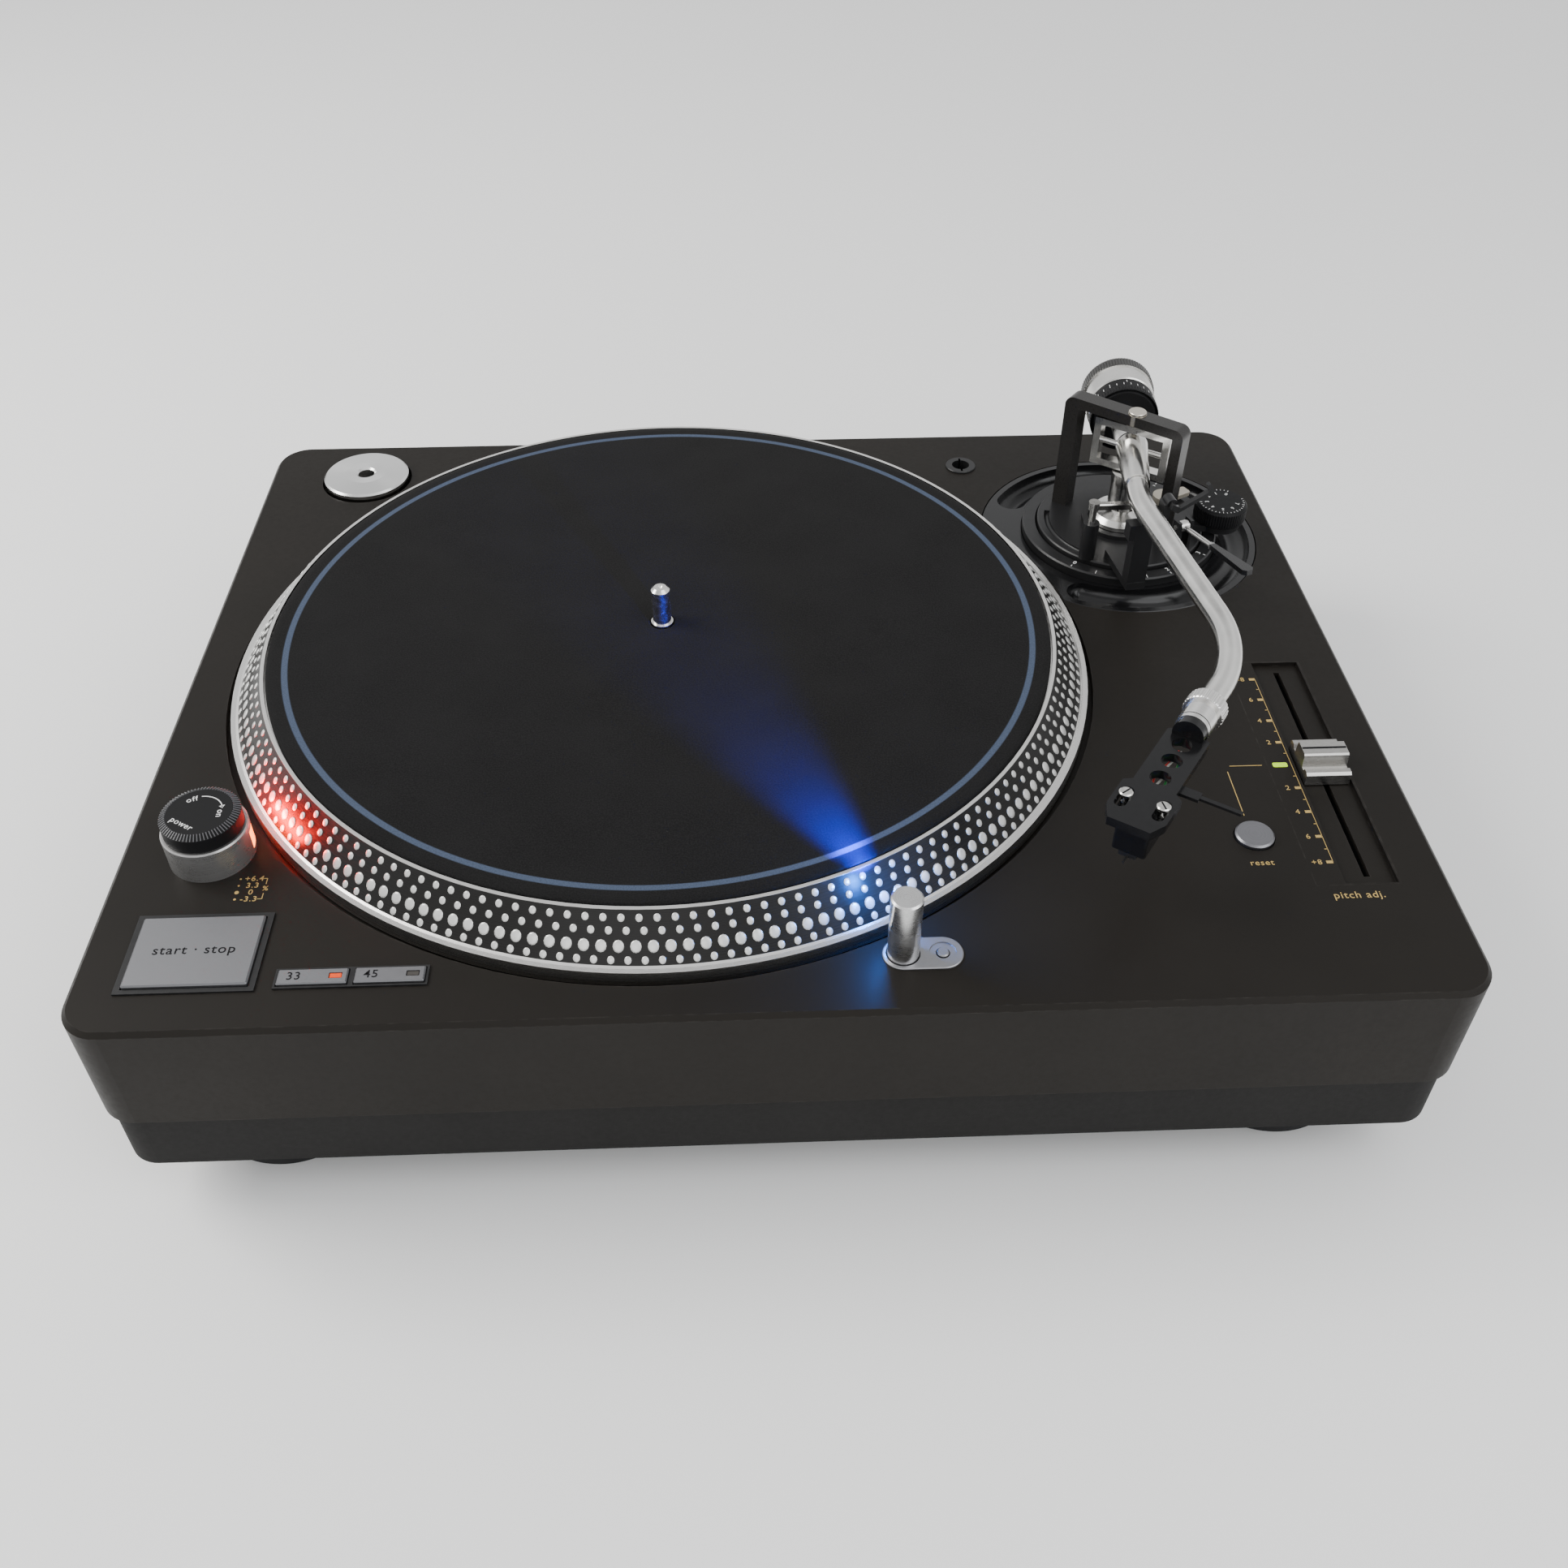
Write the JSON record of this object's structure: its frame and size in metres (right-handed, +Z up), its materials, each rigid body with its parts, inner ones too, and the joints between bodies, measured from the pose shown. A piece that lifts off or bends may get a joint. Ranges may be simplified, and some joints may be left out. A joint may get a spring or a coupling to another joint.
{
  "type": "turntable record player",
  "caption": "Direct-drive record player: plinth on four feet, dotted platter with felt slipmat, S-shaped arm, pitch fader, speed buttons, strobe and target lights.",
  "frame": {"origin": "on the floor, under the middle of the plinth", "axes": "+X to the player's right along the plinth's length, +Y to the rear, +Z up"},
  "size_m": [0.453, 0.353, 0.1541],
  "materials": {
    "deck_paint": "satin",
    "base_rubber": "matte",
    "foot_rubber": "matte",
    "black_screw": "satin",
    "platter_metal": "satin",
    "spindle_steel": "polished",
    "mat_felt": "matte",
    "adapter_metal": "satin",
    "button_silver": "satin",
    "bezel_black": "satin",
    "lamp_plastic": "gloss",
    "pod_silver": "satin",
    "strobe_red": "gloss",
    "knob_black": "satin",
    "lamp_metal": "satin",
    "lens_blue": "gloss",
    "panel_black": "satin",
    "fader_silver": "satin",
    "dish_black": "satin",
    "ring_black": "satin",
    "plate_black": "satin",
    "arm_silver": "satin",
    "arm_chrome": "polished",
    "bridge_black": "satin",
    "lever_beige": "satin",
    "rest_black": "satin",
    "shell_black": "satin",
    "plug_silver": "satin",
    "cartridge_black": "satin",
    "stylus_grey": "satin",
    "weight_steel": "polished",
    "dial_black": "satin",
    "coil_copper": "satin",
    "magnet_dark": "matte",
    "bearing_steel": "satin",
    "board_green": "satin",
    "transformer_steel": "satin",
    "socket_black": "satin",
    "socket_white": "satin"
  },
  "bodies": {
    "chassis": {"top_cabinet": "deck_paint", "rubber_base": "base_rubber", "base_screws": "black_screw", "bearing_housing": "bearing_steel", "stator_coils": "coil_copper", "button_bezels": "bezel_black", "indicator_lamps": "lamp_plastic", "strobe_pod": "pod_silver", "strobe_window": "strobe_red", "light_plate": "button_silver", "pitch_panel": "panel_black", "slider_potentiometer": "socket_black", "arm_dish": "dish_black", "spare_socket": "bezel_black", "main_board": "board_green", "power_transformer": "transformer_steel", "power_inlet": "socket_black", "rear_terminals": "socket_white"},
    "foot_front_left": {"foot_front_left": "foot_rubber"},
    "foot_front_right": {"foot_front_right": "foot_rubber"},
    "foot_rear_left": {"foot_rear_left": "foot_rubber"},
    "foot_rear_right": {"foot_rear_right": "foot_rubber"},
    "platter": {"platter": "platter_metal", "spindle": "spindle_steel", "rotor_magnet": "magnet_dark"},
    "slipmat": {"slipmat": "mat_felt"},
    "adapter": {"adapter": "adapter_metal"},
    "start_button": {"start_button": "button_silver"},
    "button_low_speed": {"button_low_speed": "button_silver"},
    "button_high_speed": {"button_high_speed": "button_silver"},
    "reset_button": {"reset_button": "button_silver"},
    "power_knob": {"power_knob": "knob_black"},
    "light_button": {"light_button": "button_silver"},
    "target_lamp": {"target_lamp": "lamp_metal", "target_lens": "lens_blue"},
    "pitch_knob": {"pitch_knob": "fader_silver"},
    "height_ring": {"height_ring": "ring_black"},
    "arm_base": {"arm_base_plate": "plate_black", "arm_pillar": "arm_silver", "gimbal_bridge": "bridge_black", "armrest": "rest_black"},
    "armrest_clip": {"armrest_clip": "rest_black"},
    "cue_lever": {"cue_lever": "rest_black"},
    "lift_bar": {"lift_bar": "arm_silver"},
    "skate_knob": {"skate_knob": "knob_black"},
    "lock_lever": {"lock_lever": "lever_beige"},
    "gimbal": {"gimbal_ring": "arm_silver"},
    "tonearm": {"arm_housing": "arm_silver", "arm_tube": "arm_silver", "rear_shaft": "arm_silver"},
    "lock_nut": {"lock_nut": "arm_chrome"},
    "headshell": {"headshell": "shell_black", "headshell_plug": "plug_silver", "headshell_screws": "spindle_steel", "cartridge": "cartridge_black", "stylus": "stylus_grey", "finger_lift": "shell_black"},
    "weight_core": {"weight_core": "plug_silver"},
    "counterweight": {"counterweight": "weight_steel"},
    "force_dial": {"force_dial": "dial_black"}
  },
  "joints": [
    {"name": "foot_front_left_turn", "type": "hinge", "parent": "chassis", "child": "foot_front_left", "pos_m": [-0.178, -0.132, 0.01], "axis": [0, 0, 1], "range_deg": [-180, 180]},
    {"name": "foot_front_right_turn", "type": "hinge", "parent": "chassis", "child": "foot_front_right", "pos_m": [0.178, -0.132, 0.01], "axis": [0, 0, 1], "range_deg": [-180, 180]},
    {"name": "foot_rear_left_turn", "type": "hinge", "parent": "chassis", "child": "foot_rear_left", "pos_m": [-0.178, 0.132, 0.01], "axis": [0, 0, 1], "range_deg": [-180, 180]},
    {"name": "foot_rear_right_turn", "type": "hinge", "parent": "chassis", "child": "foot_rear_right", "pos_m": [0.178, 0.132, 0.01], "axis": [0, 0, 1], "range_deg": [-180, 180]},
    {"name": "platter_spin", "type": "hinge", "parent": "chassis", "child": "platter", "pos_m": [-0.0415, 0.0055, 0.1], "axis": [0, 0, -1], "continuous": true},
    {"name": "slipmat_slip", "type": "hinge", "parent": "platter", "child": "slipmat", "pos_m": [-0.0415, 0.0055, 0.112], "axis": [0, 0, -1], "continuous": true},
    {"name": "adapter_lift", "type": "slide", "parent": "chassis", "child": "adapter", "axis": [0, 0, 1], "range_m": [0, 0.03]},
    {"name": "start_press", "type": "slide", "parent": "chassis", "child": "start_button", "axis": [0, 0, -1], "range_m": [0, 0.0016], "stiffness_N_per_m": 400, "springref_m": -0.002},
    {"name": "low_speed_press", "type": "slide", "parent": "chassis", "child": "button_low_speed", "axis": [0, 0, -1], "range_m": [0, 0.0013], "stiffness_N_per_m": 300, "springref_m": -0.002},
    {"name": "high_speed_press", "type": "slide", "parent": "chassis", "child": "button_high_speed", "axis": [0, 0, -1], "range_m": [0, 0.0013], "stiffness_N_per_m": 300, "springref_m": -0.002},
    {"name": "reset_press", "type": "slide", "parent": "chassis", "child": "reset_button", "axis": [0, 0, -1], "range_m": [0, 0.0013], "stiffness_N_per_m": 300, "springref_m": -0.002},
    {"name": "light_button_press", "type": "slide", "parent": "chassis", "child": "light_button", "axis": [0, 0, -1], "range_m": [0, 0.001], "stiffness_N_per_m": 200, "springref_m": -0.002},
    {"name": "power_turn", "type": "hinge", "parent": "chassis", "child": "power_knob", "pos_m": [-0.1949, -0.0974, 0.11], "axis": [0, 0, 1], "range_deg": [0, 45]},
    {"name": "target_lamp_rise", "type": "slide", "parent": "chassis", "child": "target_lamp", "axis": [0, 0, 1], "range_m": [-0.0255, 0], "stiffness_N_per_m": 20, "springref_m": 0.02},
    {"name": "pitch_slide", "type": "slide", "parent": "chassis", "child": "pitch_knob", "axis": [0, 1, 0], "range_m": [-0.05, 0.05]},
    {"name": "height_ring_turn", "type": "hinge", "parent": "chassis", "child": "height_ring", "pos_m": [0.1565, 0.0893, 0.095], "axis": [0, 0, 1], "range_deg": [0, 186]},
    {"name": "arm_base_rise", "type": "slide", "parent": "chassis", "child": "arm_base", "axis": [0, 0, 1], "range_m": [0, 0.0062]},
    {"name": "lock_lever_turn", "type": "hinge", "parent": "arm_base", "child": "lock_lever", "pos_m": [0.1785, 0.1021, 0.104], "axis": [0, 0, 1], "range_deg": [0, 60]},
    {"name": "skate_turn", "type": "hinge", "parent": "arm_base", "child": "skate_knob", "pos_m": [0.199, 0.0855, 0.108], "axis": [0, 0, -1], "range_deg": [0, 300]},
    {"name": "cue_turn", "type": "hinge", "parent": "arm_base", "child": "cue_lever", "pos_m": [0.1787, 0.07, 0.11], "axis": [-0.9336, -0.3584, 0], "range_deg": [0, 45]},
    {"name": "lift_rise", "type": "slide", "parent": "arm_base", "child": "lift_bar", "axis": [0, 0, 1], "range_m": [0, 0.0031]},
    {"name": "clip_turn", "type": "hinge", "parent": "arm_base", "child": "armrest_clip", "pos_m": [0.16141, 0.04144, 0.1404], "axis": [0.1513, -0.9885, 0], "range_deg": [0, 150]},
    {"name": "arm_swing", "type": "hinge", "parent": "arm_base", "child": "gimbal", "pos_m": [0.1565, 0.0893, 0.137], "axis": [0, 0, -1], "range_deg": [0, 45]},
    {"name": "arm_tilt", "type": "hinge", "parent": "gimbal", "child": "tonearm", "pos_m": [0.1565, 0.0893, 0.137], "axis": [-0.8221, 0.5693, 0], "range_deg": [0, 12]},
    {"name": "lock_nut_turn", "type": "hinge", "parent": "tonearm", "child": "lock_nut", "pos_m": [0.14701, -0.08172, 0.137], "axis": [-0.5693, -0.8221, 0], "range_deg": [0, 90]},
    {"name": "headshell_pull", "type": "slide", "parent": "tonearm", "child": "headshell", "axis": [-0.5693, -0.8221, 0], "range_m": [0, 0.012]},
    {"name": "weight_travel", "type": "slide", "parent": "tonearm", "child": "weight_core", "axis": [0.0698, 0.9976, 0], "range_m": [-0.0025, 0.0073]},
    {"name": "weight_turn", "type": "hinge", "parent": "weight_core", "child": "counterweight", "pos_m": [0.1565, 0.0893, 0.137], "axis": [0.0698, 0.9976, 0], "range_deg": [-360, 1080]},
    {"name": "dial_turn", "type": "hinge", "parent": "counterweight", "child": "force_dial", "pos_m": [0.1565, 0.0893, 0.137], "axis": [0.0698, 0.9976, 0], "continuous": true}
  ],
  "couplings": [
    {"joint": "arm_base_rise", "follows": "height_ring_turn", "m_per_rad": 0.0018483},
    {"joint": "lift_rise", "follows": "cue_turn", "m_per_rad": 0.0038197},
    {"joint": "weight_travel", "follows": "weight_turn", "m_per_rad": 0.00038197}
  ]
}
